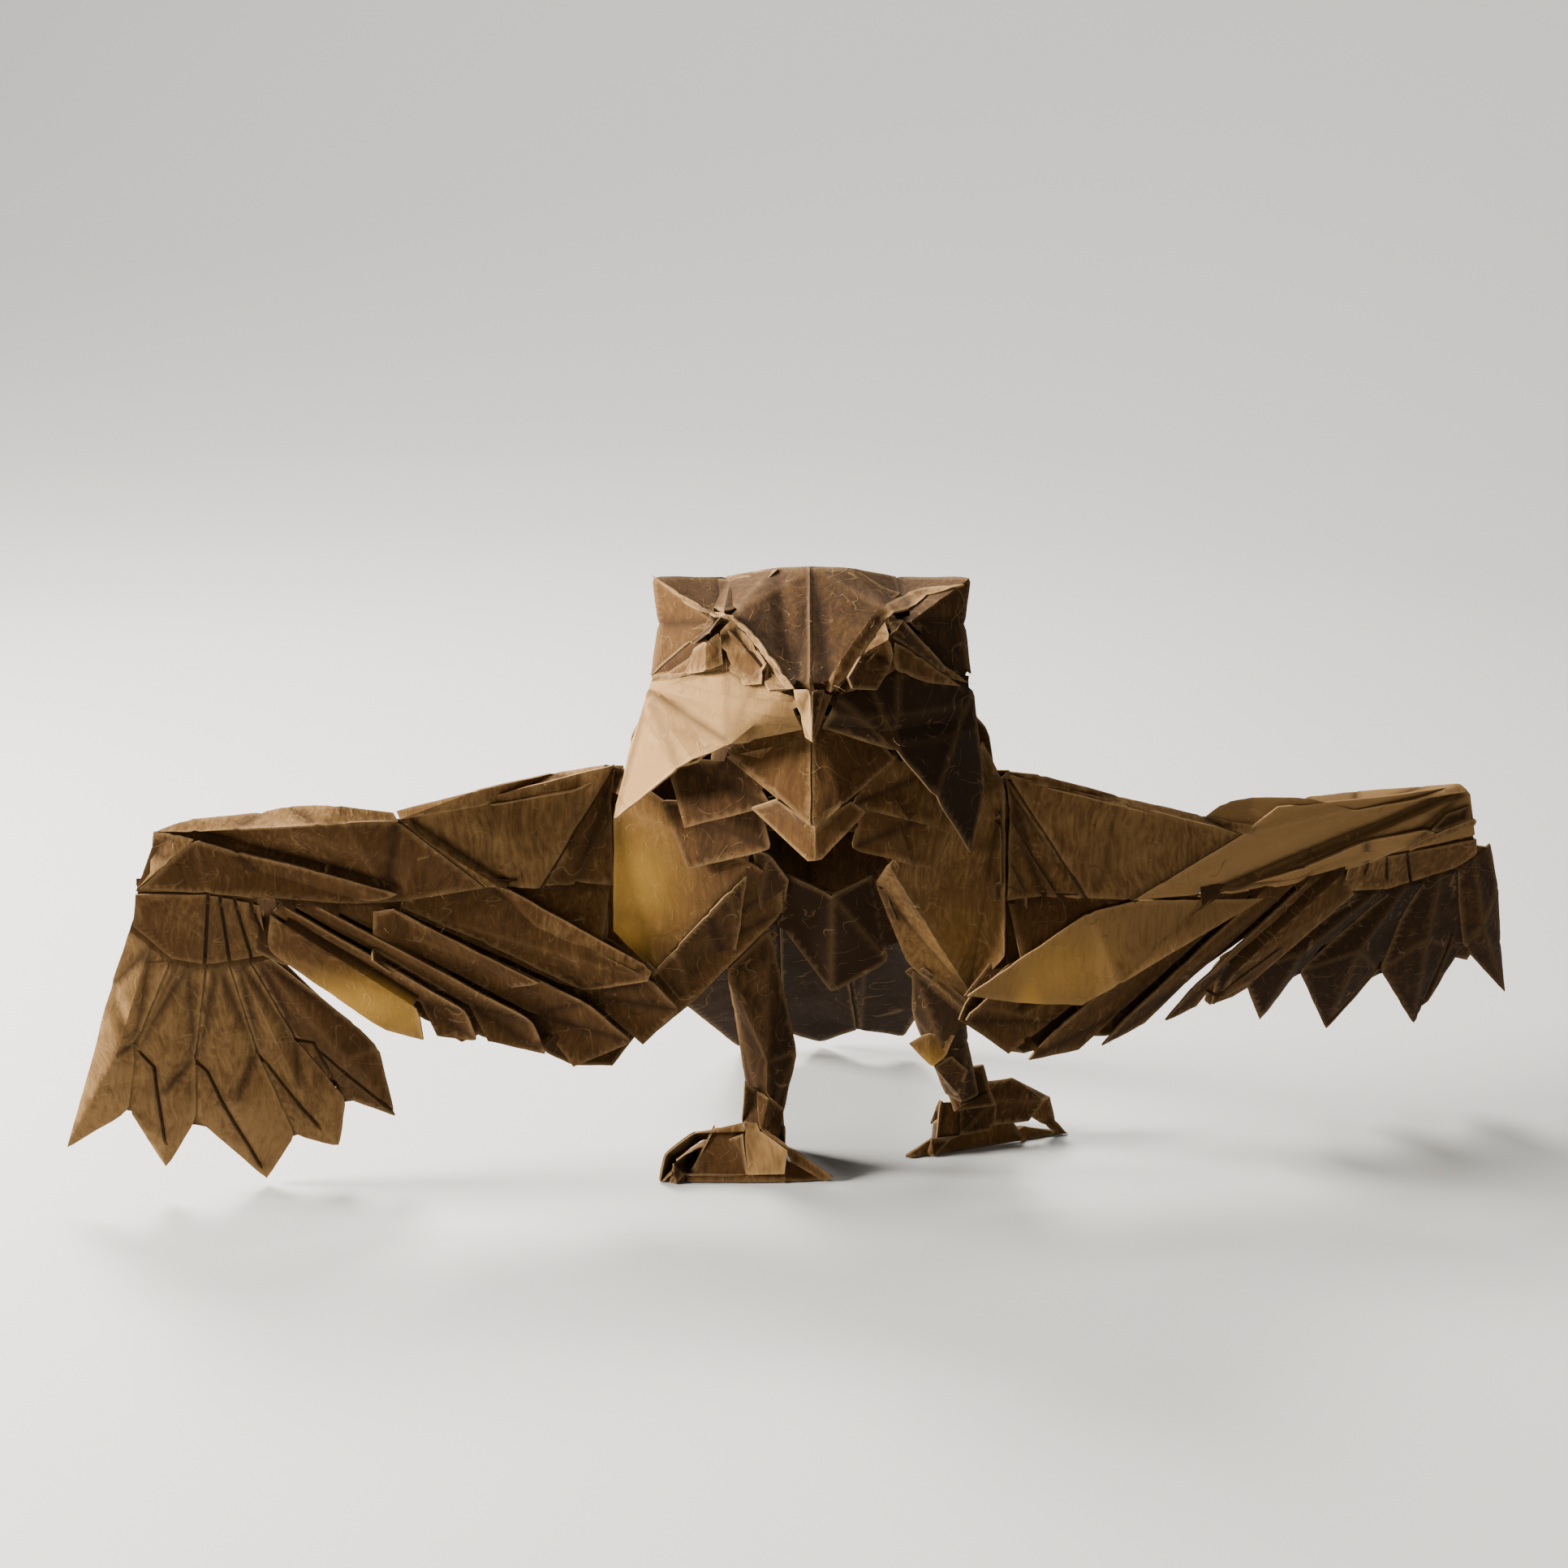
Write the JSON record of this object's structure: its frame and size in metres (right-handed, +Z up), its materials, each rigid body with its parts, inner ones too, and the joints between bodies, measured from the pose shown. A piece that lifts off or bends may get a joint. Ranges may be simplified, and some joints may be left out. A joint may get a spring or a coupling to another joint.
{
  "type": "folded paper owl",
  "caption": "Standing owl with spread wings, folded from kraft paper: creased head, breast flaps, pleated wings, finger feathers, legs and tail.",
  "frame": {"origin": "middle of the bounding box, on the floor it stands on", "axes": "+X to the right as the owl is faced, wings spread along it; -Y the way the owl looks; +Z up"},
  "size_m": [0.2362, 0.077, 0.1024],
  "materials": {
    "kraft_paper": "matte"
  },
  "bodies": {
    "torso": {"back": "kraft_paper", "breast_lower": "kraft_paper", "breast_upper": "kraft_paper", "flank_left": "kraft_paper", "flank_right": "kraft_paper", "lining": "kraft_paper", "tier_lower_left": "kraft_paper", "tier_lower_right": "kraft_paper", "tier_upper_left": "kraft_paper", "tier_upper_right": "kraft_paper"},
    "head": {"beak": "kraft_paper", "cheek_left": "kraft_paper", "cheek_right": "kraft_paper", "crown": "kraft_paper", "ear_tuft_left": "kraft_paper", "ear_tuft_right": "kraft_paper", "eye_fold_left": "kraft_paper", "eye_fold_right": "kraft_paper", "nape": "kraft_paper"},
    "tail": {"tail_left": "kraft_paper", "tail_middle": "kraft_paper", "tail_right": "kraft_paper"},
    "wing_left": {"forearm_left": "kraft_paper", "secondary_1_left": "kraft_paper", "secondary_2_left": "kraft_paper", "secondary_3_left": "kraft_paper", "secondary_4_left": "kraft_paper", "secondary_5_left": "kraft_paper", "shoulder_left": "kraft_paper", "upper_arm_left": "kraft_paper"},
    "wing_right": {"forearm_right": "kraft_paper", "secondary_1_right": "kraft_paper", "secondary_2_right": "kraft_paper", "secondary_3_right": "kraft_paper", "secondary_4_right": "kraft_paper", "secondary_5_right": "kraft_paper", "shoulder_right": "kraft_paper", "upper_arm_right": "kraft_paper"},
    "hand_left": {"cover_left": "kraft_paper", "primary_1_left": "kraft_paper", "primary_2_left": "kraft_paper", "primary_3_left": "kraft_paper", "primary_4_left": "kraft_paper", "primary_5_left": "kraft_paper"},
    "hand_right": {"cover_right": "kraft_paper", "primary_1_right": "kraft_paper", "primary_2_right": "kraft_paper", "primary_3_right": "kraft_paper", "primary_4_right": "kraft_paper", "primary_5_right": "kraft_paper"},
    "leg_left": {"claw_left": "kraft_paper", "foot_left": "kraft_paper", "leg_left": "kraft_paper", "toe_left": "kraft_paper"},
    "leg_right": {"claw_right": "kraft_paper", "foot_right": "kraft_paper", "leg_right": "kraft_paper", "toe_right": "kraft_paper"}
  },
  "joints": [
    {"name": "neck_nod", "type": "hinge", "parent": "torso", "child": "head", "pos_m": [-0.00243, -0.00014, 0.08165], "axis": [-1, 0, 0], "range_deg": [0, 12]},
    {"name": "wing_sweep_left", "type": "hinge", "parent": "torso", "child": "wing_left", "pos_m": [-0.03193, -0.01614, 0.07165], "axis": [0, 0, -1], "range_deg": [0, 30]},
    {"name": "wing_sweep_right", "type": "hinge", "parent": "torso", "child": "wing_right", "pos_m": [0.02707, -0.01614, 0.07165], "axis": [0, 0, 1], "range_deg": [0, 30]},
    {"name": "hand_fold_left", "type": "hinge", "parent": "wing_left", "child": "hand_left", "pos_m": [-0.0959, -0.02979, 0.05609], "axis": [0.9816, 0.1908, 0], "range_deg": [0, 25]},
    {"name": "hand_fold_right", "type": "hinge", "parent": "wing_right", "child": "hand_right", "pos_m": [0.09647, -0.00114, 0.0531], "axis": [0.9781, 0.2079, 0], "range_deg": [0, 25]},
    {"name": "hip_swing_left", "type": "hinge", "parent": "torso", "child": "leg_left", "pos_m": [-0.01188, -0.01484, 0.04145], "axis": [-1, 0, 0], "range_deg": [-5, 8]},
    {"name": "hip_swing_right", "type": "hinge", "parent": "torso", "child": "leg_right", "pos_m": [0.01787, -0.01204, 0.03345], "axis": [-1, 0, 0], "range_deg": [-5, 8]},
    {"name": "tail_lift", "type": "hinge", "parent": "torso", "child": "tail", "pos_m": [-0.00243, 0.00146, 0.04185], "axis": [1, 0, 0], "range_deg": [0, 20]}
  ]
}
